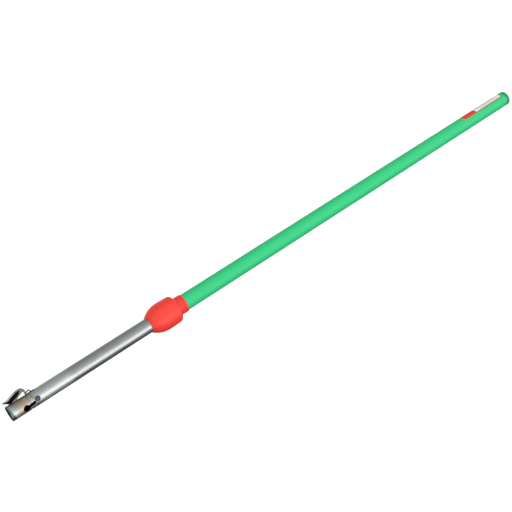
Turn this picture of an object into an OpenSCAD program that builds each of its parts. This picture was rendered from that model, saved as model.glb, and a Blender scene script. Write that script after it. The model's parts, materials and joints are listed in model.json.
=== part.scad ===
// Telescopic extension pole for a paint roller, lying along X.
// The origin is the centre of the handle socket's mouth, +X runs to the grip
// end, and +Z points at the latch lever.

/* [Tubes] */
// Outside diameter of the steel inner tube
inner_d = 22; // [21.5:0.1:22.3]
// Wall of the steel inner tube
inner_wall = 0.9; // [0.8:0.05:1]
// Length of the inner tube
inner_len = 800; // [760:5:850]
// Outside diameter of the coated outer tube
outer_d = 25; // [25:0.1:25.4]
// Wall of the steel core of the outer tube
core_wall = 0.5; // [0.4:0.05:0.6]
// Thickness of the green plastic coating
coat = 0.4; // [0.3:0.05:0.5]
// Length of the outer tube
outer_len = 720; // [715:1:800]

/* [Handle socket] */
// Depth of the socket, up to the rolled stop bead
socket_depth = 27.6; // [26:0.2:27.6]
// How far the bead stands into the bore
bead_depth = 0.6; // [0.4:0.1:0.8]
// Diameter of the round end of the keyhole
keyhole_d = 9.5; // [8:0.25:10]
// Width of the narrow end of the keyhole
keyhole_slot_w = 4.2; // [3:0.2:4.6]
// Angle of the keyhole below the side of the tube
keyhole_tilt = 18; // [14:1:20]
// Slant of the keyhole across the tube
keyhole_slant = 8; // [0:1:10]

/* [Latch] */
// Distance of the pivot pin from the mouth
pivot_x = 39.5; // [39:0.5:40]
// Diameter of the pivot pin's shank
pin_d = 4; // [3.5:0.1:4.2]
// Width of the latch lever
lever_w = 7; // [6.6:0.1:7.2]
// Sheet thickness of the latch lever
lever_t = 0.9; // [0.8:0.1:1]
// Height of the lever's arch above the axis
arch_z = 22; // [21.6:0.1:22.6]
// Wire diameter of the lever spring
wire_d = 1.6; // [1.2:0.1:1.6]

/* [Twist lock] */
// Distance of the nut's front face from the socket mouth
nut_x = 221; // [215:1:225]
// Length of the lock nut
nut_len = 48.4; // [48:0.2:52]
// Largest radius of the nut
nut_r = 21.2; // [20.8:0.1:22]
// Radius of the nut's front face
nut_face_r = 12.1; // [12:0.1:12.6]
// Outside diameter of the fixed collar behind the nut
collar_d = 27.4; // [27.2:0.1:28]
// Length of the fixed collar behind the nut
collar_len = 12.4; // [11.5:0.1:14]
// Number of saw cuts in the collet
collet_cuts = 6; // [4:1:8]

/* [Grip end] */
// Length of the cap's head
cap_head = 8; // [6:0.5:9]
// Length of the label
label_len = 98; // [90:1:102]
// Half of the angle that the label covers round the tube
label_half_angle = 58; // [45:1:65]

/* [Hidden] */

$fn = 96;
CUT = 1;            // how far a cutter runs past the face it opens
FIT = 0.05;         // radial clearance of a running fit
GAP = 0.3;          // gap between neighbours that don't touch

inner_r = inner_d / 2;
bore_r = inner_r - inner_wall;
outer_r = outer_d / 2;
core_r = outer_r - coat;
core_bore_r = core_r - core_wall;

// Twist lock, from front to back
nut_end = nut_x + nut_len;
wiper_x = nut_x + 2.6;
wiper_len = 2.2;
wiper_r = 12.5;
cavity_x = nut_x + 8;
ring_x = cavity_x + GAP;
ring_len = 5.7;
collet_x = ring_x + 1.4;
collet_len = 18;
collet_cone_len = 9;
collet_nose_r = 12.4;
collet_body_r = 14.2;
collet_cut_w = 1.2;
collet_cut_len = 13;
barrel_x = collet_x + collet_len;
barrel_len = 14;
barrel_r = 14.8;
neck_r = 13;
collar_x = nut_end + 0.6;
collar_end = collar_x + collar_len;
collar_r = collar_d / 2;
tube_seat = collar_x + 2;
nut_cavity_r = barrel_r + GAP;
nut_rim_r = nut_cavity_r + 0.8;
clip_x = nut_end - 4.6;
clip_t = 1.4;
clip_depth = 1.2;
BUSH_PINS = 3;
bush_pin_d = 3;
bush_pin_x = collar_end - 6;

// Outer tube, cap and label
outer_end = tube_seat + outer_len;
cap_plug = 24;
cap_wall = 2;
label_t = 0.12;
label_to_end = 7;
label_x = outer_end - label_to_end - label_len;

// Rear end of the inner tube
spigot_len = 26;
bush_flange = 9;
bush_r = core_bore_r - 0.08;
bush_hollow_r = 7;
stop_x = inner_len - 30;
stop_len = 4;
stop_r = inner_r + 0.45;
rivet_d = 3.2;
rivet_x = inner_len - 13;

// Latch
round_x = 22;       // middle of the keyhole's round end
keyhole_len = 12;   // from there to the middle of its narrow end
slot_x0 = 29;
slot_x1 = 43;
slot_w = lever_w + 0.6;
tooth_x = 8.5;
tooth_len = 3;
tooth_w = 3;
tooth_end = bore_r + 0.1;
window_gap = 0.8;
beak_x = -1.5;
beak_z = 17.2;
beak_w = 2;
seat_z = inner_r + 0.15;
nose_x0 = 7.5;
nose_x1 = 15.5;
crown_r = 34;
crown_x = 25;
bend_r = 6;
bend_x = 26;
bend_z = arch_z - bend_r - 0.1;
leg_x = bend_x + bend_r;
leg_w = 2;
eye_r = 3.6;
washer_d = 8.2;
washer_t = 0.5;
head_d = 7.2;
head_h = 1.5;
coil_r = 3.7;
coil_turns = 2;

// A solid rod along X
module rod(x0, x1, r) {
    translate([x0, 0, 0]) rotate([0, 90, 0]) cylinder(h = x1 - x0, r = r);
}

// A hollow pipe along X
module pipe(x0, x1, r_out, r_in) {
    difference() {
        rod(x0, x1, r_out);
        rod(x0 - CUT, x1 + CUT, r_in);
    }
}

// A ring turned about X from an outline of [radius, x] points
module turned(points) {
    rotate([0, 90, 0]) rotate_extrude() polygon(points);
}

// A rod square to the tube, along the direction that is "angle" from +Z towards -Y
module radial_rod(x, angle, r0, r1, d) {
    translate([x, 0, 0]) rotate([angle, 0, 0]) translate([0, 0, r0]) cylinder(h = r1 - r0, d = d);
}

// A rod along Y, centred on the XZ plane
module cross_rod(x, z, len, d) {
    translate([x, len / 2, z]) rotate([90, 0, 0]) cylinder(h = len, d = d);
}

// A side outline in [x, z], given a width along Y
module side_plate(w) {
    translate([0, w / 2, 0]) rotate([90, 0, 0]) linear_extrude(w) children();
}

// Points on an arc, with angles measured from +x towards +z
function arc(cx, cz, r, a0, a1, steps) =
    [for (i = [0 : steps]) let (a = a0 + (a1 - a0) * i / steps) [cx + r * cos(a), cz + r * sin(a)]];

// ---- Inner tube ---------------------------------------------------------

// Tube wall with the rolled bead that stops the handle
module inner_wall_body() {
    bead = bead_depth;
    x1 = socket_depth;
    x2 = x1 + bead;
    x3 = x2 + 1.2;
    x4 = x3 + bead;
    lip = 0.3;
    turned([
        [bore_r + lip, 0], [inner_r - lip, 0], [inner_r, lip],
        [inner_r, x1], [inner_r - bead, x2], [inner_r - bead, x3], [inner_r, x4],
        [inner_r, inner_len], [bore_r, inner_len],
        [bore_r, x4], [bore_r - bead, x3], [bore_r - bead, x2], [bore_r, x1],
        [bore_r, lip]
    ]);
}

// Keyhole window that the handle's stud shows through
module keyhole_cut() {
    low = bore_r - 2;
    rotate([90 + keyhole_tilt, 0, 0])
        translate([round_x + keyhole_len / 2, 0, low])
            linear_extrude(inner_r + CUT - low)
                rotate(keyhole_slant) {
                    translate([-keyhole_len / 2, 0]) circle(d = keyhole_d);
                    translate([keyhole_len / 2, 0]) circle(d = keyhole_slot_w);
                    square([keyhole_len, keyhole_slot_w], center = true);
                }
}

// Slot in the top of the tube that the lever's arm works in
module lever_slot_cut() {
    depth = inner_wall + 4;
    translate([slot_x0, -slot_w / 2, inner_r - depth + CUT])
        cube([slot_x1 - slot_x0, slot_w, depth]);
}

// Window in the top of the tube for the lever's tooth
module tooth_window_cut() {
    w = tooth_w + 2 * window_gap;
    translate([tooth_x - window_gap, -w / 2, bore_r - CUT])
        cube([tooth_len + 2 * window_gap, w, inner_wall + 2 * CUT]);
}

module inner_tube() {
    color("silver")
        difference() {
            inner_wall_body();
            keyhole_cut();
            lever_slot_cut();
            tooth_window_cut();
            cross_rod(pivot_x, 0, inner_d + 2 * CUT, pin_d + 2 * FIT);
            for (side = [0, 180])
                radial_rod(rivet_x, side, bore_r - CUT, inner_r + CUT, rivet_d + 2 * FIT);
        }
}

// ---- Latch --------------------------------------------------------------

// Side outline of the lever: beak, nose, arch, leg and arm
module lever_side() {
    crown = arc(crown_x, arch_z - crown_r, crown_r, 122, 88, 10);
    bend = arc(bend_x, bend_z, bend_r, 84, 0, 8);
    inside_r = 1.8;
    inside_x = leg_x - leg_w - inside_r;
    inside = arc(inside_x, bend_z - 1.4, inside_r, 0, 105, 6);
    polygon(concat(
        [[beak_x, beak_z]], crown, bend,
        [[leg_x, inner_r - 0.4], [pivot_x + 2.5, 2.6], [pivot_x - 2.6, -2.5], [leg_x - leg_w, inner_r - 2]],
        inside,
        [[nose_x1, seat_z], [nose_x0, seat_z], [beak_x + 0.4, beak_z - 1]]));
    translate([pivot_x, 0]) circle(r = eye_r);
}

// Space between the lever's cheeks, under its web
module lever_hollow() {
    below = 8;
    crown = arc(crown_x, arch_z - crown_r, crown_r - lever_t, 116, 88, 8);
    bend = arc(bend_x, bend_z, bend_r - lever_t, 84, 0, 8);
    polygon(concat(
        [[nose_x0, seat_z + lever_t]], crown, bend,
        [[leg_x - lever_t, inner_r - 1], [pivot_x + below, 5], [pivot_x + below, -below],
         [leg_x - 4, -below], [nose_x1 - 3, seat_z - CUT], [nose_x1 - 3, seat_z + lever_t]]));
}

// Wedge off one side of the beak, which leaves it pointed in plan
module beak_side_cut(side) {
    taper_len = 9;
    out = lever_w;
    translate([0, 0, inner_r - 2])
        linear_extrude(10)
            polygon([[beak_x - CUT, side * beak_w / 2], [beak_x, side * beak_w / 2],
                     [beak_x + taper_len, side * lever_w / 2], [beak_x + taper_len, side * out],
                     [beak_x - CUT, side * out]]);
}

module latch_lever() {
    color("dimgray") {
        difference() {
            side_plate(lever_w) lever_side();
            side_plate(lever_w - 2 * lever_t) lever_hollow();
            cross_rod(pivot_x, 0, lever_w + CUT, pin_d + 2 * FIT);
            for (side = [-1, 1]) beak_side_cut(side);
        }
        translate([tooth_x, -tooth_w / 2, tooth_end])
            cube([tooth_len, tooth_w, inner_wall + 0.6]);
    }
}

// Centre line of the spring's wire, from its leg inside the tube, round the
// pin, up through the slot and over to the lever's leg
function spring_path() =
    let (leg_end = 13, steps = 18, turns = coil_turns - 0.75, pitch = wire_d * 1.06,
         y0 = -turns * pitch / 2, bail_r = 2.5, bail_x = leg_x + bail_r + wire_d / 2 + 0.1,
         bail_z = inner_r + 0.2)
    concat(
        [[pivot_x + leg_end, y0, -coil_r], [pivot_x + leg_end / 2, y0, -coil_r]],
        [for (i = [0 : steps * turns]) let (a = -90 - 360 * i / steps)
            [pivot_x + coil_r * cos(a), y0 + pitch * i / steps, coil_r * sin(a)]],
        [[pivot_x - coil_r + 0.4, -y0, 4], [bail_x + bail_r - 0.1, -y0, bail_z - 3]],
        [for (a = [0 : 15 : 165]) [bail_x + bail_r * cos(a), -y0, bail_z + bail_r * sin(a)]]);

// A round wire swept along a path whose turns lie square to Y
module wire(path, d, sides) {
    last = len(path) - 1;
    rings = [for (i = [0 : last])
        let (ahead = path[min(i + 1, last)] - path[max(i - 1, 0)], t = ahead / norm(ahead),
             v0 = cross(t, [0, 1, 0]), v = v0 / norm(v0), u = cross(v, t))
        for (k = [0 : sides - 1]) let (a = 360 * k / sides)
            path[i] + d / 2 * (u * cos(a) + v * sin(a))];
    skin = [for (i = [0 : last - 1], k = [0 : sides - 1])
        let (n = (k + 1) % sides, a = i * sides, b = a + sides)
        each [[a + k, b + k, b + n], [a + k, b + n, a + n]]];
    first_cap = [[for (k = [0 : sides - 1]) k]];
    last_cap = [[for (k = [sides - 1 : -1 : 0]) last * sides + k]];
    polyhedron(points = rings, faces = concat(skin, first_cap, last_cap));
}

module lever_spring() {
    color("darkgray") wire(spring_path(), wire_d, 10);
}

// One domed head, seated on its washer on the -Y side
module pin_head() {
    dome_r = (head_h * head_h + head_d * head_d / 4) / (2 * head_h);
    seat = inner_r + washer_t;
    intersection() {
        translate([pivot_x, -seat + dome_r - head_h, 0]) sphere(r = dome_r);
        translate([pivot_x - head_d, -seat - 2 * head_h, -head_d]) cube([2 * head_d, 2 * head_h, 2 * head_d]);
    }
}

module pivot_pin() {
    color("slategray") {
        cross_rod(pivot_x, 0, inner_d + 2 * washer_t + 0.2, pin_d);
        pin_head();
        mirror([0, 1, 0]) pin_head();
    }
}

module pin_washers() {
    color("lightsteelblue")
        for (side = [-1, 1])
            translate([0, side * (inner_r + washer_t / 2), 0])
                difference() {
                    cross_rod(pivot_x, 0, washer_t, washer_d);
                    cross_rod(pivot_x, 0, washer_t + CUT, pin_d + 2 * FIT);
                }
}

module pin_spacer() {
    len = lever_w - 2 * lever_t - 0.4;
    color("goldenrod")
        difference() {
            cross_rod(pivot_x, 0, len, 2 * coil_r - wire_d - 0.6);
            cross_rod(pivot_x, 0, len + CUT, pin_d + 2 * FIT);
        }
}

// ---- Rear end of the inner tube -----------------------------------------

module guide_bush() {
    spigot_r = bore_r - FIT;
    hollow_r = bush_hollow_r;
    groove = 0.6;
    x0 = inner_len;
    color("ivory")
        difference() {
            turned([
                [hollow_r, x0 - spigot_len], [spigot_r - 1, x0 - spigot_len], [spigot_r, x0 - spigot_len + 1],
                [spigot_r, x0 + 0.2], [bush_r - 0.4, x0 + 0.2], [bush_r, x0 + 0.6],
                [bush_r, x0 + 3.4], [bush_r - groove, x0 + 3.8], [bush_r - groove, x0 + 5.4],
                [bush_r, x0 + 5.8], [bush_r, x0 + bush_flange - 0.8],
                [bush_r - 0.8, x0 + bush_flange], [hollow_r, x0 + bush_flange]
            ]);
            for (side = [0, 180])
                radial_rod(rivet_x, side, hollow_r - CUT, bore_r + CUT, rivet_d + 2 * FIT);
        }
}

module bush_rivets() {
    color("lightgray")
        for (side = [0, 180])
            radial_rod(rivet_x, side, bush_hollow_r - 0.6, inner_r + 0.2, rivet_d);
}

// Steel ring pressed round the inner tube, which stops it at full reach
module stop_ring() {
    color("gray") pipe(stop_x, stop_x + stop_len, stop_r, inner_r + 0.01);
}

// ---- Outer tube ---------------------------------------------------------

module outer_tube() {
    color("lightgray")
        difference() {
            pipe(tube_seat, outer_end, core_r, core_bore_r);
            bush_pin_holes();
        }
}

module tube_coating() {
    color("mediumseagreen")
        difference() {
            pipe(tube_seat, outer_end, outer_r, core_r);
            bush_pin_holes();
        }
}

module end_cap() {
    head_x = outer_end;
    plug_x = head_x - cap_plug;
    hollow_r = core_bore_r - cap_wall;
    edge = 1.2;
    color("seagreen")
        turned(concat(
            [[0, head_x + 2], [hollow_r, head_x + 2], [hollow_r, plug_x],
             [core_bore_r - 0.8, plug_x], [core_bore_r - FIT, plug_x + 2],
             [core_bore_r - FIT, head_x + 0.05], [outer_r, head_x + 0.05]],
            arc(outer_r - edge, head_x + cap_head - edge, edge, 0, 90, 8),
            [[0, head_x + cap_head]]));
}

// Printed label, wrapped round the top of the tube
module label() {
    top = outer_r + 2;
    half = top * tan(label_half_angle);
    color("red")
        intersection() {
            pipe(label_x, label_x + label_len, outer_r + label_t, outer_r);
            translate([label_x, 0, 0]) rotate([90, 0, 90]) linear_extrude(label_len)
                polygon([[0, 0], [half, top], [-half, top]]);
        }
}

// ---- Twist lock ---------------------------------------------------------

// Radial rods at the places of the bush pins
module bush_pin_rods(r0, r1, d) {
    for (i = [0 : BUSH_PINS - 1])
        radial_rod(bush_pin_x, 60 + 360 * i / BUSH_PINS, r0, r1, d);
}

module bush_pin_holes() {
    bush_pin_rods(core_bore_r - CUT, outer_r + CUT, bush_pin_d + 2 * FIT);
}

// Fixed bush: threaded barrel inside the nut, neck, and collar over the tube's end
module threaded_bush() {
    barrel_end = barrel_x + barrel_len;
    bush_bore = inner_r + 0.4;
    edge = 0.9;
    sleeve_r = outer_r + 0.01;
    color("red")
        difference() {
            turned(concat(
                [[bush_bore, barrel_x + 0.1], [barrel_r - 0.6, barrel_x + 0.1], [barrel_r, barrel_x + 0.7],
                 [barrel_r, barrel_end - 0.6], [barrel_r - 0.6, barrel_end], [neck_r, barrel_end],
                 [neck_r, collar_x], [collar_r, collar_x]],
                arc(collar_r - edge, collar_end - edge, edge, 0, 90, 6),
                [[sleeve_r, collar_end], [sleeve_r, tube_seat - 0.05], [bush_bore, tube_seat - 0.05]]));
            bush_pin_rods(outer_r - CUT, outer_r + 0.5, bush_pin_d + 2 * FIT);
        }
}

// Moulded-in pins that lock the bush to the tube
module bush_pins() {
    color("dimgray") bush_pin_rods(core_bore_r + 0.1, outer_r + 0.45, bush_pin_d);
}

module split_collet() {
    grip_r = inner_r + 0.08;
    color("whitesmoke")
        difference() {
            turned([
                [grip_r, collet_x], [collet_nose_r, collet_x],
                [collet_body_r, collet_x + collet_cone_len], [collet_body_r, collet_x + collet_len],
                [grip_r, collet_x + collet_len]
            ]);
            for (i = [0 : collet_cuts - 1])
                rotate([360 * i / collet_cuts, 0, 0])
                    translate([collet_x - CUT, -collet_cut_w / 2, grip_r - CUT])
                        cube([collet_cut_len + CUT, collet_cut_w, collet_body_r - grip_r + 2 * CUT]);
        }
}

// Ring that the nut pushes over the collet's cone
module thrust_ring() {
    taper = (collet_body_r - collet_nose_r) / collet_cone_len;
    nose_x = collet_x - GAP;
    front_r = collet_nose_r + GAP;
    back_r = front_r + taper * (ring_x + ring_len - nose_x);
    color("gainsboro")
        turned([
            [front_r, ring_x], [nut_cavity_r - GAP, ring_x], [nut_cavity_r - GAP, ring_x + ring_len],
            [back_r, ring_x + ring_len], [front_r, nose_x]
        ]);
}

// Outside of the nut: a long nose, a full middle and a rounded back
module nut_body() {
    full_x = 24.5;
    rise = nut_r - nut_face_r;
    nose_r = (full_x * full_x + rise * rise) / (2 * rise);
    nose_angle = asin(full_x / nose_r);
    corner_r = 5.4;
    corner_x = nut_len - 0.6 - corner_r * cos(12);
    sag = 0.5;
    nose = [for (i = [0 : 14]) let (a = nose_angle * (1 - i / 14))
        [nut_r - nose_r * (1 - cos(a)), nut_x + full_x - nose_r * sin(a)]];
    middle = [for (i = [1 : 5]) let (u = i / 5)
        [nut_r - sag * u * u, nut_x + full_x + (corner_x - full_x) * u]];
    corner = [for (i = [1 : 9]) let (a = 90 - 9 * i)
        [nut_r - sag - corner_r * (1 - sin(a)), nut_x + corner_x + corner_r * cos(a)]];
    turned(concat([[0, nut_x]], nose, middle, corner, [[nut_rim_r, nut_end], [0, nut_end]]));
}

module lock_nut() {
    mouth_r = inner_r + GAP;
    color("tomato")
        difference() {
            nut_body();
            rod(nut_x - CUT, nut_end + CUT, mouth_r);
            rod(wiper_x, wiper_x + wiper_len, wiper_r);
            rod(cavity_x, nut_end + CUT, nut_cavity_r);
            rod(clip_x, clip_x + clip_t, nut_cavity_r + clip_depth);
        }
}

module wiper_ring() {
    color("black") pipe(wiper_x + 0.02, wiper_x + wiper_len - 0.02, wiper_r - 0.02, inner_r + 0.06);
}

// Open spring clip that keeps the nut on the bush
module nut_clip() {
    opening = 8;
    color("gray")
        difference() {
            pipe(clip_x + 0.1, clip_x + clip_t - 0.1, nut_cavity_r + clip_depth - 0.1, neck_r + GAP);
            translate([clip_x - CUT, -opening / 2, -nut_r]) cube([clip_t + 2 * CUT, opening, nut_r]);
        }
}

inner_tube();
latch_lever();
lever_spring();
pivot_pin();
pin_washers();
pin_spacer();
guide_bush();
bush_rivets();
stop_ring();
outer_tube();
tube_coating();
threaded_bush();
bush_pins();
split_collet();
thrust_ring();
lock_nut();
wiper_ring();
nut_clip();
end_cap();
label();
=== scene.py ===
"""Looks of the roller extension pole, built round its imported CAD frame."""

import math

import bmesh
import bpy
from mathutils import Matrix, Vector
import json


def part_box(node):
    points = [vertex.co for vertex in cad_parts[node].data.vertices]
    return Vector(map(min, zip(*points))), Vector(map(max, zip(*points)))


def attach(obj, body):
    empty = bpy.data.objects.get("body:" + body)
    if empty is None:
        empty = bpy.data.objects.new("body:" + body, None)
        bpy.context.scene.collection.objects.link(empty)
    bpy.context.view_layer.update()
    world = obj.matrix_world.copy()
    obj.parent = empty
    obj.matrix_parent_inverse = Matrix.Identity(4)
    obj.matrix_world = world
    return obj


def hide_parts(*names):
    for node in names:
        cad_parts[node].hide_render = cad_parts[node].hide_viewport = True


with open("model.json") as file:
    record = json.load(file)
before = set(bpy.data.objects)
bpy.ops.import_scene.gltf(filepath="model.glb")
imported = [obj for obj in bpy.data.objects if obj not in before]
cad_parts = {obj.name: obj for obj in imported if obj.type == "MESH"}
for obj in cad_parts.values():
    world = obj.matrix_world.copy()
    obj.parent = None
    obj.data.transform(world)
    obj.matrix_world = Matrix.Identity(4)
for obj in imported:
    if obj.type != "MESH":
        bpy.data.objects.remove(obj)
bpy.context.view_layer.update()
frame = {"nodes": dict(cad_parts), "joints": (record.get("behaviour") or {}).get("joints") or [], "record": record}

MM = 0.001

# Sizes of the part, read from the frame
TUBE_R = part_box("inner_tube")[1].y
label_lo, label_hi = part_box("label")
joints = {j["name"]: j for j in frame["joints"]}
PIVOT_X = joints["latch_open"]["pos_m"][0]


# ---- Shader helpers ---------------------------------------------------------

def new_material(name, base, roughness, metallic=0.0, **extra):
    """A principled material whose constants sit on the shader's own sockets."""
    mat = bpy.data.materials.new(name)
    mat.use_nodes = True
    shader = mat.node_tree.nodes["Principled BSDF"]
    shader.inputs["Base Color"].default_value = (*base, 1)
    shader.inputs["Roughness"].default_value = roughness
    shader.inputs["Metallic"].default_value = metallic
    for socket, value in extra.items():
        shader.inputs[socket.replace("_", " ")].default_value = value
    return mat


def add_node(mat, kind, **inputs):
    node = mat.node_tree.nodes.new(kind)
    for name, value in inputs.items():
        node.inputs[name.replace("_", " ")].default_value = value
    return node


def connect(mat, a, b):
    mat.node_tree.links.new(a, b)


def object_noise(mat, scale, stretch=(1, 1, 1), detail=3.0):
    """Noise laid over the object's own coordinates, stretched along its axes."""
    coords = mat.node_tree.nodes.new("ShaderNodeTexCoord")
    mapping = add_node(mat, "ShaderNodeMapping")
    mapping.inputs["Scale"].default_value = stretch
    noise = add_node(mat, "ShaderNodeTexNoise", Scale=scale, Detail=detail)
    connect(mat, coords.outputs["Object"], mapping.inputs["Vector"])
    connect(mat, mapping.outputs["Vector"], noise.inputs["Vector"])
    return noise.outputs["Fac"]


def grey(value):
    return (value, value, value)


def ramp(mat, factor, stops):
    """Colour that runs through the stops, each a place from 0 to 1 and a colour."""
    node = mat.node_tree.nodes.new("ShaderNodeValToRGB")
    elements = node.color_ramp.elements
    while len(elements) < len(stops):
        elements.new(0.5)
    for element, (position, colour) in zip(elements, stops):
        element.position = position
        element.color = (*colour, 1)
    connect(mat, factor, node.inputs["Fac"])
    return node.outputs["Color"]


def tint_colour(mat, base, factor, spread):
    """Base colour that a noise makes a little darker and lighter."""
    dark = tuple(c * (1 - spread) for c in base)
    light = tuple(min(1, c * (1 + spread)) for c in base)
    colour = ramp(mat, factor, [(0.3, dark), (0.7, light)])
    connect(mat, colour, mat.node_tree.nodes["Principled BSDF"].inputs["Base Color"])


def rough_range(mat, factor, low, high):
    roughness = ramp(mat, factor, [(0.3, grey(low)), (0.7, grey(high))])
    connect(mat, roughness, mat.node_tree.nodes["Principled BSDF"].inputs["Roughness"])


def bump(mat, factor, strength, distance):
    node = add_node(mat, "ShaderNodeBump", Strength=strength, Distance=distance)
    connect(mat, factor, node.inputs["Height"])
    connect(mat, node.outputs["Normal"], mat.node_tree.nodes["Principled BSDF"].inputs["Normal"])


def direction_value(mat, vector):
    """How far the object's own coordinates reach along a vector."""
    coords = mat.node_tree.nodes.new("ShaderNodeTexCoord")
    dot = mat.node_tree.nodes.new("ShaderNodeVectorMath")
    dot.operation = "DOT_PRODUCT"
    dot.inputs[1].default_value = vector
    connect(mat, coords.outputs["Object"], dot.inputs[0])
    return dot.outputs["Value"]


def axis_distance(mat):
    """Distance from the pole's axis."""
    coords = mat.node_tree.nodes.new("ShaderNodeTexCoord")
    flat = mat.node_tree.nodes.new("ShaderNodeVectorMath")
    flat.operation = "MULTIPLY"
    flat.inputs[1].default_value = (0, 1, 1)
    length = mat.node_tree.nodes.new("ShaderNodeVectorMath")
    length.operation = "LENGTH"
    connect(mat, coords.outputs["Object"], flat.inputs[0])
    connect(mat, flat.outputs["Vector"], length.inputs[0])
    return length.outputs["Value"]


def rescale(mat, value, low, high):
    """The value as a share of the way from low to high."""
    node = add_node(mat, "ShaderNodeMapRange", From_Min=low, From_Max=high)
    connect(mat, value, node.inputs["Value"])
    return node.outputs["Result"]


def multiply(mat, a, b, factor=1.0):
    mix = mat.node_tree.nodes.new("ShaderNodeMix")
    mix.data_type = "RGBA"
    mix.blend_type = "MULTIPLY"
    mix.inputs["Factor"].default_value = factor
    connect(mat, a, mix.inputs["A"])
    connect(mat, b, mix.inputs["B"])
    return mix.outputs["Result"]


def plain_metal(name, base, roughness, stretch=(1, 1, 1), scale=900):
    mat = new_material(name, base, roughness, 1.0)
    noise = object_noise(mat, scale, stretch)
    tint_colour(mat, base, noise, 0.08)
    rough_range(mat, noise, roughness * 0.8, min(1, roughness * 1.25))
    return mat


def plain_plastic(name, base, roughness, scale=700, spread=0.04, depth=0.00004, gloss=0.5):
    mat = new_material(name, base, roughness, Specular_IOR_Level=gloss)
    noise = object_noise(mat, scale)
    tint_colour(mat, base, noise, spread)
    rough_range(mat, noise, roughness * 0.85, roughness * 1.15)
    bump(mat, noise, 0.25, depth)
    return mat


# ---- Mesh helpers -----------------------------------------------------------

def mesh_object(name, verts, faces, body, mats, replaces=None):
    """Smooth-shaded piece that rides on a body, and may stand for a CAD node."""
    mesh = bpy.data.meshes.new(name)
    mesh.from_pydata(verts, [], faces)
    mesh.validate()
    mesh.update()
    obj = bpy.data.objects.new(name, mesh)
    bpy.context.scene.collection.objects.link(obj)
    for mat in mats:
        mesh.materials.append(mat)
    mesh.shade_smooth()
    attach(obj, body)
    if replaces:
        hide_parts(replaces)
    return obj


def finish_edges(obj, angle=35):
    """Outward normals, with creases sharper than the angle left sharp."""
    mesh = obj.data
    for o in bpy.context.selected_objects:
        o.select_set(False)
    bpy.context.view_layer.objects.active = obj
    obj.select_set(True)
    bpy.ops.object.mode_set(mode="EDIT")
    bpy.ops.mesh.select_all(action="SELECT")
    bpy.ops.mesh.normals_make_consistent(inside=False)
    bpy.ops.object.mode_set(mode="OBJECT")
    mesh.set_sharp_from_angle(angle=math.radians(angle))
    obj.select_set(False)


# ---- Materials --------------------------------------------------------------

STEEL = (0.66, 0.70, 0.695)
# Share of the steel's colour that is left past the stretch at the mouth that is painted lighter as painted light,
# and where that stretch ends
STEEL_SHADE = 0.77
PAINTED_LIGHT_X = (0.086, 0.097)
# Stretch that the heat colours run over, with a painted reflection at the mouth and a painted highlight beside it,
# and how far it leans over the top of the tube
TINT_AND_PAINTED_LIGHT_X = (-0.003, 0.06)
TINT_AND_PAINTED_LIGHT_LEAN = 0.25
# Depths below the tube's surface between which it turns dark as painted shade inside the tube
BORE_DEPTH = (0.82 * MM, 0.70 * MM)
BORE_SHADE = 0.05
# Stretch that the painted highlight on the lever's back runs over
LEVER_HIGHLIGHT_X = (0.0, 0.04)
GREEN = (0.034, 0.59, 0.215)
RED = (0.95, 0.052, 0.036)


def bright_steel():
    """Drawn steel tube, painted dark inside as painted shade, rougher and painted lighter towards its mouth as
    painted light, with the heat colours of welding and a painted reflection and painted highlight at the mouth.
    """
    mat = new_material("bright_steel", STEEL, 0.3, 1.0)
    from_mouth = rescale(mat, direction_value(mat, (1, 0, TINT_AND_PAINTED_LIGHT_LEAN)), *TINT_AND_PAINTED_LIGHT_X)
    # Heat colours with painted light: the dark teal stops at the mouth are a painted reflection and the light stop
    # after them a painted highlight; the tan and olive stops are heat colours of welding
    tint_and_painted_light = ramp(mat, from_mouth, [
        (0.0, (0.20, 0.30, 0.33)), (0.04, (0.12, 0.19, 0.21)), (0.085, (0.11, 0.18, 0.195)),
        (0.132, (0.64, 0.70, 0.65)), (0.24, (0.52, 0.51, 0.45)), (0.35, (0.60, 0.47, 0.36)),
        (0.42, (0.66, 0.49, 0.33)), (0.49, (0.56, 0.55, 0.49)), (0.58, (0.56, 0.57, 0.49)),
        (0.62, (0.46, 0.48, 0.25)), (0.67, STEEL), (1.0, STEEL)])
    noise = object_noise(mat, 260, (0.25, 1, 1))
    streaks = ramp(mat, noise, [(0.3, grey(0.78)), (0.7, grey(1.0))])
    # Painted shade: the inside of the tube is painted dark
    wall = rescale(mat, axis_distance(mat), *(TUBE_R - depth for depth in BORE_DEPTH))
    bore = ramp(mat, wall, [(0.0, grey(BORE_SHADE)), (1.0, grey(1.0))])
    # Painted light: the stretch at the mouth is painted lighter than the steel past it, and is rougher
    past_painted_light = rescale(mat, direction_value(mat, (1, 0, 0)), *PAINTED_LIGHT_X)
    shade = ramp(mat, past_painted_light, [(0.0, grey(1.0)), (1.0, grey(STEEL_SHADE))])
    colour = multiply(mat, multiply(mat, multiply(mat, tint_and_painted_light, streaks, 0.4), shade), bore)
    shader = mat.node_tree.nodes["Principled BSDF"]
    connect(mat, colour, shader.inputs["Base Color"])
    dullness = ramp(mat, past_painted_light, [(0.0, grey(0.49)), (1.0, grey(0.37))])
    grain = ramp(mat, noise, [(0.3, grey(0.74)), (0.7, grey(1.0))])
    connect(mat, multiply(mat, dullness, grain), shader.inputs["Roughness"])
    return mat


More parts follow.
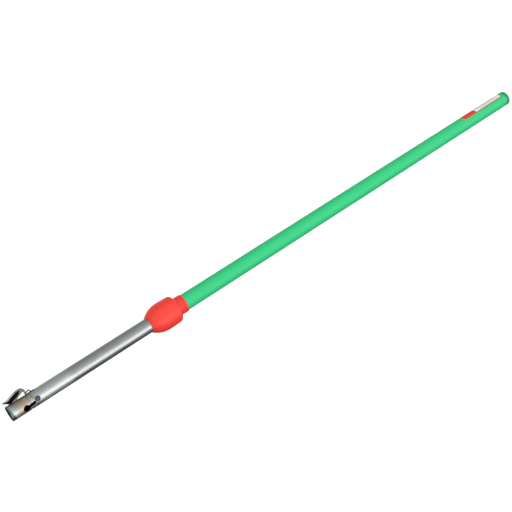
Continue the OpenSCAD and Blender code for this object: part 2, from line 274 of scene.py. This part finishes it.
def lever_back_painted_highlight():
    """Rounded back of the lever, painted as a highlight: light near the beak, olive on the crown, dark down the
    leg.
    """
    mat = new_material("lever_back_highlight", (0.4, 0.4, 0.3), 0.5, Specular_IOR_Level=0.4)
    along = rescale(mat, direction_value(mat, (1, 0, 0)), *LEVER_HIGHLIGHT_X)
    # Painted highlight: the light and olive colours stand in for light falling on the rounded back; it turns dark
    # down the leg
    highlight_colour = ramp(mat, along, [
        (0.0, (0.16, 0.13, 0.13)), (0.14, (0.50, 0.46, 0.45)), (0.40, (0.55, 0.52, 0.49)),
        (0.50, (0.22, 0.21, 0.16)), (0.60, (0.26, 0.26, 0.18)), (0.70, (0.15, 0.15, 0.12)),
        (0.78, (0.04, 0.04, 0.036)), (1.0, (0.03, 0.03, 0.028))])
    noise = object_noise(mat, 900)
    speckle = ramp(mat, noise, [(0.3, grey(0.7)), (0.7, grey(1.0))])
    colour = multiply(mat, highlight_colour, speckle, 0.6)
    connect(mat, colour, mat.node_tree.nodes["Principled BSDF"].inputs["Base Color"])
    rough_range(mat, noise, 0.35, 0.6)
    return mat


materials = {
    "bright_steel": bright_steel(),
    "lever_steel": plain_plastic("lever_black", (0.003, 0.003, 0.002), 0.7, gloss=0.05),
    "spring_steel": plain_plastic("spring_wire", (0.010, 0.010, 0.009), 0.5, gloss=0.15),
    "pin_steel": plain_metal("pin_steel", (0.11, 0.12, 0.17), 0.45),
    "washer_steel": plain_metal("washer_steel", (0.30, 0.32, 0.37), 0.4),
    "core_steel": plain_metal("core_steel", (0.50, 0.51, 0.52), 0.35, (0.1, 1, 1)),
    "green_coating": plain_plastic("green_coating", GREEN, 0.45, 500, 0.05, gloss=0.3),
    "green_cap": plain_plastic("green_cap", (0.020, 0.30, 0.10), 0.55, 900),
    "red_nut": plain_plastic("red_nut", RED, 0.38, 400, 0.03, gloss=0.42),
    "red_collar": plain_plastic("red_collar", (0.90, 0.050, 0.038), 0.45, 500, gloss=0.3),
    "white_nylon": plain_plastic("white_nylon", (0.82, 0.81, 0.76), 0.5),
    "black_rubber": plain_plastic("black_rubber", (0.02, 0.02, 0.02), 0.75),
}

SLOT_OF_NODE = {s["node"]: s["material_slot"] for s in frame["record"]["subparts"]}
for node_name, node_object in frame["nodes"].items():
    slot_name = SLOT_OF_NODE[node_name]
    if slot_name in materials:
        node_object.data.materials.clear()
        node_object.data.materials.append(materials[slot_name])


# ---- Latch lever ------------------------------------------------------------

# All sizes here are in millimetres
# Stations of the lever in its side view: a point on its back and the one under it
LEVER_STATIONS = [
    ((-1.5, 17.2), (-1.1, 16.3)), ((3.0, 17.2), (3.2, 13.7)), ((6.5, 17.4), (7.2, 11.4)),
    ((9.5, 18.4), (10.3, 11.2)), ((12.5, 19.6), (13.2, 11.2)), ((15.5, 20.6), (16.0, 11.4)),
    ((18.5, 21.3), (19.2, 12.7)), ((21.5, 21.8), (22.5, 14.1)), ((24.5, 22.0), (25.3, 15.2)),
    ((27.2, 21.8), (27.4, 16.1)), ((29.4, 20.9), (28.7, 16.2)), ((31.1, 19.1), (29.6, 15.6)),
    ((31.9, 17.0), (29.9, 14.8)), ((32.0, 14.3), (30.0, 13.2)), ((32.0, 11.4), (30.1, 10.6)),
    ((32.3, 10.3), (30.6, 9.2)),
]
# Flat arms below the leg, inside the tube: the leg's two corners and the eye round the pin
ARM_TOP = (32.2, 10.4)
ARM_LOW = (30.5, 9.3)
EYE_R = 3.6
EYE_HOLE_R = 2.06
# Turned-in floor under the nose, with the tooth below it
FLOOR_X = (7.5, 12.5)
FLOOR_Z = (11.15, 12.05)
TOOTH_X = (8.5, 11.5)
TOOTH_HALF_WIDTH = 1.5
TOOTH_END = 10.2
FLOOR_LAP = 0.2
BLOCK_BEVEL = 0.15
LEVER_HALF_WIDTH = 3.45
LEVER_TIP_HALF_WIDTH = 0.9
LEVER_TAPER = 9.0
LEVER_SHEET = 0.9
LEVER_CORNER = 1.2
SMALLEST_CORNER = 0.05
# How finely each corner, station, eye and straight side is divided
CORNER_STEPS = 6
STATION_STEPS = 6
EYE_STEPS = 40
SIDE_STEPS = 8
# The black paint's reach down the cheek, and where it narrows to nothing
PAINT_DEPTH = 6.8
PAINT_TAPER_X = 17.0
PAINT_END_X = 27.0
PAINT_MARGIN = 0.02
LEVER_MATERIALS = {
    "painted": materials["lever_steel"],
    "painted_sheen": lever_back_painted_highlight(),
    "lip": plain_plastic("lever_lip", (0.17, 0.168, 0.148), 0.5, gloss=0.3),
}


def smooth_path(points, steps):
    """Catmull-Rom curve through the points."""
    out = []
    last = len(points) - 1
    for i in range(last):
        p0, p1, p2, p3 = (points[max(0, min(last, i + k))] for k in (-1, 0, 1, 2))
        for step in range(steps):
            t = step / steps
            out.append(tuple(
                0.5 * (2 * b + (c - a) * t + (2 * a - 5 * b + 4 * c - d) * t ** 2
                       + (3 * b - a - 3 * c + d) * t ** 3)
                for a, b, c, d in zip(p0, p1, p2, p3)))
    return out + [tuple(points[last])]


def paint_depth(x):
    """How far down the cheek the black paint reaches; it narrows to nothing at the crown."""
    taper = min(1.0, max(0.0, (x - PAINT_TAPER_X) / (PAINT_END_X - PAINT_TAPER_X)))
    return PAINT_DEPTH * (1 - taper ** 2)


def lever_section(half, depth, x):
    """Channel section as (across, down) points, with the surface that each edge belongs to."""
    corner = min(LEVER_CORNER, half * 0.8, depth * 0.6)
    sheet = min(LEVER_SHEET, half * 0.5, depth * 0.4)
    border = min(max(paint_depth(x), corner + PAINT_MARGIN), depth - PAINT_MARGIN)
    outer = [(-half, depth, "lip"), (-half, border, "painted")]
    # The rounded corner carries the painted highlight, and so does the inside of the channel
    for k in range(CORNER_STEPS + 1):
        a = math.pi / 2 * k / CORNER_STEPS
        outer.append((-half + corner * (1 - math.cos(a)), corner * (1 - math.sin(a)), "painted_sheen"))
    kinds = [kind for _, _, kind in outer]
    kinds += list(reversed(kinds[:-1])) + ["painted"]
    points = [(u, v) for u, v, _ in outer]
    points += [(-u, v) for u, v in reversed(points)]
    inner_corner = max(corner - sheet, SMALLEST_CORNER)
    inner = [(half - sheet, depth), (half - sheet, sheet + inner_corner),
             (half - sheet - inner_corner, sheet)]
    points += inner + [(-u, v) for u, v in reversed(inner)]
    return points, kinds + ["painted_sheen"] * (len(points) - len(kinds))


def lever_body():
    """The pressing: the channel section swept along the stations."""
    flat = smooth_path([(*top, *low) for top, low in LEVER_STATIONS], STATION_STEPS)
    verts, kinds, faces, face_kinds = [], [], [], []
    for tx, tz, bx, bz in flat:
        top, low = Vector((tx, 0, tz)), Vector((bx, 0, bz))
        down = low - top
        reach = min(1.0, max(0.0, (tx - flat[0][0]) / LEVER_TAPER))
        half = LEVER_TIP_HALF_WIDTH + (LEVER_HALF_WIDTH - LEVER_TIP_HALF_WIDTH) * reach
        section, kinds = lever_section(half, down.length, tx)
        for across, drop in section:
            point = top + down.normalized() * drop
            verts.append((point.x * MM, across * MM, point.z * MM))
    count = len(kinds)
    for i in range(len(flat) - 1):
        for k in range(count):
            n = (k + 1) % count
            faces.append((i * count + k, (i + 1) * count + k, (i + 1) * count + n, i * count + n))
            face_kinds.append(kinds[k])
    for start in (0, (len(flat) - 1) * count):
        faces.append(tuple(start + k for k in range(count)))
        face_kinds.append("painted")
    lever = mesh_object("lever_pressing", verts, faces, "latch",
                        list(LEVER_MATERIALS.values()), replaces="latch_lever")
    order = list(LEVER_MATERIALS)
    for face, kind in zip(lever.data.polygons, face_kinds):
        face.material_index = order.index(kind)
    finish_edges(lever, 50)


def arm_outline():
    """Side outline of one arm about the pivot, with enough points for a round hole."""
    pivot = PIVOT_X / MM
    corners = []
    for (x, z), side in ((ARM_TOP, -1), (ARM_LOW, 1)):
        reach, heading = math.hypot(x - pivot, z), math.atan2(z, x - pivot)
        corners.append((x - pivot, z, heading + side * math.acos(EYE_R / reach)))
    (top_x, top_z, start), (low_x, low_z, end) = corners
    turn = start + 2 * math.pi - end
    round_part = [end + turn * k / EYE_STEPS for k in range(EYE_STEPS + 1)]
    outline = [(EYE_R * math.cos(a), EYE_R * math.sin(a)) for a in round_part]
    for target in ((top_x, top_z), (low_x, low_z), outline[0]):
        x, z = outline[-1]
        shares = [k / SIDE_STEPS for k in range(1, SIDE_STEPS + 1)]
        outline += [(x + (target[0] - x) * share, z + (target[1] - z) * share) for share in shares]
    return outline[:-1]


def lever_arms():
    """The two flat arms, whose eyes turn on the pivot pin."""
    outline = arm_outline()
    count = len(outline)
    hole = [tuple(Vector(point).normalized() * EYE_HOLE_R) for point in outline]
    verts, faces = [], []
    for side in (-1, 1):
        start = len(verts)
        for y in (side * (LEVER_HALF_WIDTH - LEVER_SHEET), side * LEVER_HALF_WIDTH):
            verts += [(PIVOT_X + x * MM, y * MM, z * MM) for x, z in outline + hole]
        for k in range(count):
            n = (k + 1) % count
            near_out, near_in, far_out, far_in = (start + j * count for j in range(4))
            faces += [(near_out + k, near_out + n, near_in + n, near_in + k),
                      (far_out + k, far_in + k, far_in + n, far_out + n),
                      (near_out + k, far_out + k, far_out + n, near_out + n),
                      (near_in + k, near_in + n, far_in + n, far_in + k)]
    arms = mesh_object("lever_arms", verts, faces, "latch", [LEVER_MATERIALS["lip"]])
    finish_edges(arms)


def lever_block(name, x_range, half_width, z_range):
    """Block of unpainted lever steel with eased edges."""
    low = Vector((x_range[0], -half_width, z_range[0]))
    high = Vector((x_range[1], half_width, z_range[1]))
    mesh = bpy.data.meshes.new(name)
    block = bmesh.new()
    bmesh.ops.create_cube(block, size=1)
    for vert in block.verts:
        vert.co = ((low + high) / 2 + vert.co * (high - low)) * MM
    bmesh.ops.bevel(block, geom=block.edges[:], offset=BLOCK_BEVEL * MM, segments=2, affect="EDGES")
    block.to_mesh(mesh)
    block.free()
    obj = bpy.data.objects.new(name, mesh)
    bpy.context.scene.collection.objects.link(obj)
    mesh.materials.append(LEVER_MATERIALS["lip"])
    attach(obj, "latch")
    finish_edges(obj)


lever_body()
lever_arms()
lever_block("lever_floor", FLOOR_X, LEVER_HALF_WIDTH - LEVER_SHEET + FLOOR_LAP, FLOOR_Z)
lever_block("lever_tooth", TOOTH_X, TOOTH_HALF_WIDTH, (TOOTH_END, FLOOR_Z[1]))


# ---- Label ------------------------------------------------------------------

LABEL_STEPS_ALONG = 100
LABEL_STEPS_ROUND = 60
# Radius of the film's corners and its thickness, in millimetres
LABEL_CORNER = 3.5
LABEL_LIFT = 0.12
# Share of the length that is red, and the shares that the rules run between
LABEL_RED_SHARE = 0.33
ORANGE_RULE_REACH = (0.42, 0.95)
GREY_RULE_REACH = (0.36, 0.88)
# Distances of the border and the rules from the long edges, in millimetres
BROWN_BORDER = 1.7
ORANGE_RULE = (3.1, 4.0)
GREY_RULE = (6.9, 7.7)
GREY_MIDDLE = 10.2
LABEL_INKS = {
    "red": plain_plastic("label_red", (0.78, 0.060, 0.028), 0.45, gloss=0.3),
    "cream": plain_plastic("label_cream", (0.95, 0.92, 0.84), 0.4, 300, 0.05),
    "grey": plain_plastic("label_grey_rule", (0.36, 0.37, 0.39), 0.4),
    "brown": plain_plastic("label_brown_border", (0.16, 0.09, 0.05), 0.4),
    "orange": plain_plastic("label_orange_rule", (0.60, 0.22, 0.14), 0.4),
}


def between(value, limits):
    return limits[0] < value < limits[1]


def label_print(share, from_edge):
    """Which ink a spot carries, by its share of the length and its distance from a long edge."""
    if share < LABEL_RED_SHARE:
        return "red"
    if from_edge < BROWN_BORDER:
        return "brown"
    if between(from_edge, ORANGE_RULE) and between(share, ORANGE_RULE_REACH):
        return "orange"
    on_grey = between(from_edge, GREY_RULE) or from_edge > GREY_MIDDLE
    return "grey" if on_grey and between(share, GREY_RULE_REACH) else "cream"


def label_sheet():
    """Thin film wrapped round the top of the tube, printed face by face."""
    length = (label_hi.x - label_lo.x) / MM
    radius = label_hi.z / MM
    half_angle = math.asin(min(1, label_hi.y / label_hi.z))
    half_mm = half_angle * radius
    verts, faces, inks = [], [], []
    for lift in (0.0, 1.0):
        r = radius - LABEL_LIFT * (1 - lift)
        for i in range(LABEL_STEPS_ALONG + 1):
            x = length * i / LABEL_STEPS_ALONG
            into = LABEL_CORNER - min(x, length - x, LABEL_CORNER)
            pull = LABEL_CORNER - math.sqrt(max(0, LABEL_CORNER ** 2 - into ** 2))
            for k in range(LABEL_STEPS_ROUND + 1):
                a = (half_mm - pull) / radius * (2 * k / LABEL_STEPS_ROUND - 1)
                verts.append((label_lo.x + x * MM, -r * math.sin(a) * MM, r * math.cos(a) * MM))
    row = LABEL_STEPS_ROUND + 1
    layer = row * (LABEL_STEPS_ALONG + 1)
    for i in range(LABEL_STEPS_ALONG):
        for k in range(LABEL_STEPS_ROUND):
            a, b = i * row + k, (i + 1) * row + k
            faces += [(layer + a, layer + b, layer + b + 1, layer + a + 1), (a, a + 1, b + 1, b)]
            from_edge = half_mm * (1 - abs(2 * (k + 0.5) / LABEL_STEPS_ROUND - 1))
            inks += [label_print((i + 0.5) / LABEL_STEPS_ALONG, from_edge), "cream"]
    edge = [(i, 0) for i in range(LABEL_STEPS_ALONG)]
    edge += [(LABEL_STEPS_ALONG, k) for k in range(row - 1)]
    edge += [(i, row - 1) for i in range(LABEL_STEPS_ALONG, 0, -1)]
    edge += [(0, k) for k in range(row - 1, 0, -1)]
    for (i, k), (i2, k2) in zip(edge, edge[1:] + edge[:1]):
        a, b = i * row + k, i2 * row + k2
        faces.append((a, b, layer + b, layer + a))
        inks.append("cream")
    sheet = mesh_object("label_film", verts, faces, "outer_pole",
                        list(LABEL_INKS.values()), replaces="label")
    order = list(LABEL_INKS)
    for face, ink in zip(sheet.data.polygons, inks):
        face.material_index = order.index(ink)
    finish_edges(sheet, 60)


label_sheet()


# ---- Stage, lights and camera -----------------------------------------------

WHITE = 1.02
PAPER_GREY = grey(0.93)
PAPER_GLOW = 0.75
# Brightness of the surround by the angle round the pole, in degrees: front 0, top 90, back 180
SURROUND = [
    (-180, WHITE), (-162, 0.90), (-150, 0.12), (-84, 0.08), (-66, 0.22), (-52, 0.70),
    (-38, 1.00), (0, 0.88), (15, 0.74), (26, 0.64), (48, 0.53), (72, 0.43),
    (100, 0.34), (130, 0.33), (146, 0.70), (155, WHITE), (180, WHITE),
]


def stage_floor():
    """Plain white paper under the pole, which sends no light back up at it."""
    size, drop = 60, 0.42
    corners = [(-size, -size), (size, -size), (size, size), (-size, size)]
    mesh = bpy.data.meshes.new("floor")
    mesh.from_pydata([(x, y, -drop) for x, y in corners], [], [(0, 1, 2, 3)])
    floor = bpy.data.objects.new("floor", mesh)
    bpy.context.scene.collection.objects.link(floor)
    mat = new_material("floor_paper", PAPER_GREY, 0.9)
    tint_colour(mat, PAPER_GREY, object_noise(mat, 3), 0.01)
    shader = mat.node_tree.nodes["Principled BSDF"]
    shader.inputs["Emission Color"].default_value = (1, 1, 1, 1)
    shader.inputs["Emission Strength"].default_value = PAPER_GLOW
    mesh.materials.append(mat)
    floor.visible_diffuse = False
    floor.visible_glossy = False
    floor.visible_shadow = False


def soft_world():
    """Studio light shaded by the angle round the pole, which the camera sees as plain white."""
    world = bpy.data.worlds.new("studio")
    bpy.context.scene.world = world
    world.use_nodes = True
    nodes = world.node_tree.nodes
    coords = nodes.new("ShaderNodeTexCoord")
    split = nodes.new("ShaderNodeSeparateXYZ")
    front = nodes.new("ShaderNodeMath")
    front.operation = "MULTIPLY"
    front.inputs[1].default_value = -1
    angle = nodes.new("ShaderNodeMath")
    angle.operation = "ARCTAN2"
    connect(world, coords.outputs["Generated"], split.inputs["Vector"])
    connect(world, split.outputs["Y"], front.inputs[0])
    connect(world, split.outputs["Z"], angle.inputs[0])
    connect(world, front.outputs["Value"], angle.inputs[1])
    share = rescale(world, angle.outputs["Value"], -math.pi, math.pi)
    glow = ramp(world, share, [((degrees + 180) / 360, grey(value)) for degrees, value in SURROUND])
    rays = nodes.new("ShaderNodeLightPath")
    seen = nodes.new("ShaderNodeMix")
    seen.data_type = "RGBA"
    seen.inputs["B"].default_value = (*grey(WHITE), 1)
    connect(world, rays.outputs["Is Camera Ray"], seen.inputs["Factor"])
    connect(world, glow, seen.inputs["A"])
    connect(world, seen.outputs["Result"], nodes["Background"].inputs["Color"])


def area_light(name, location, target, size, power, mirrored=True):
    data = bpy.data.lights.new(name, "AREA")
    data.shape = "RECTANGLE"
    data.size, data.size_y = size
    data.energy = power
    light = bpy.data.objects.new(name, data)
    light.location = location
    light.rotation_euler = (Vector(target) - Vector(location)).to_track_quat("-Z", "Y").to_euler()
    light.visible_glossy = mirrored
    bpy.context.scene.collection.objects.link(light)


def studio_camera():
    """Camera that looks along the pole's near side, rolled as the pole lies across the frame."""
    frame_px = 512
    focal_px = 850
    sensor = 36
    turn = math.radians(25)
    height = math.radians(12.4)
    roll = math.radians(32.55)
    aim_x, distance = 0.4164, 1.2755
    step_right, step_up = 1.4 * MM, 2.0 * MM
    outward = Vector((0, -math.cos(height), math.sin(height)))
    ahead = Vector((math.sin(turn), 0, 0)) - outward * math.cos(turn)
    along = Vector((math.cos(turn), 0, 0)) + outward * math.sin(turn)
    upright = ahead.cross(along) * -1
    right = along * math.cos(roll) - upright * math.sin(roll)
    up = along * math.sin(roll) + upright * math.cos(roll)
    data = bpy.data.cameras.new("camera")
    data.sensor_width = sensor
    data.lens = focal_px * sensor / frame_px
    data.dof.use_dof = False
    data.clip_start, data.clip_end = 0.05, 60
    camera = bpy.data.objects.new("camera", data)
    place = Matrix((right, up, -ahead)).transposed().to_4x4()
    aim = Vector((aim_x, 0, 0)) + right * step_right + up * step_up
    place.translation = aim - ahead * distance
    camera.matrix_world = place
    bpy.context.scene.collection.objects.link(camera)
    bpy.context.scene.camera = camera


bpy.context.scene.view_settings.view_transform = "Standard"
stage_floor()
soft_world()
area_light("key", location=(1.2, -2.0, -1.0), target=(1.2, 0, 0), size=(5.0, 1.6), power=24)
area_light("fill", location=(0.7, -1.4, 1.5), target=(0.7, 0, 0), size=(4.0, 1.2), power=20, mirrored=False)
studio_camera()
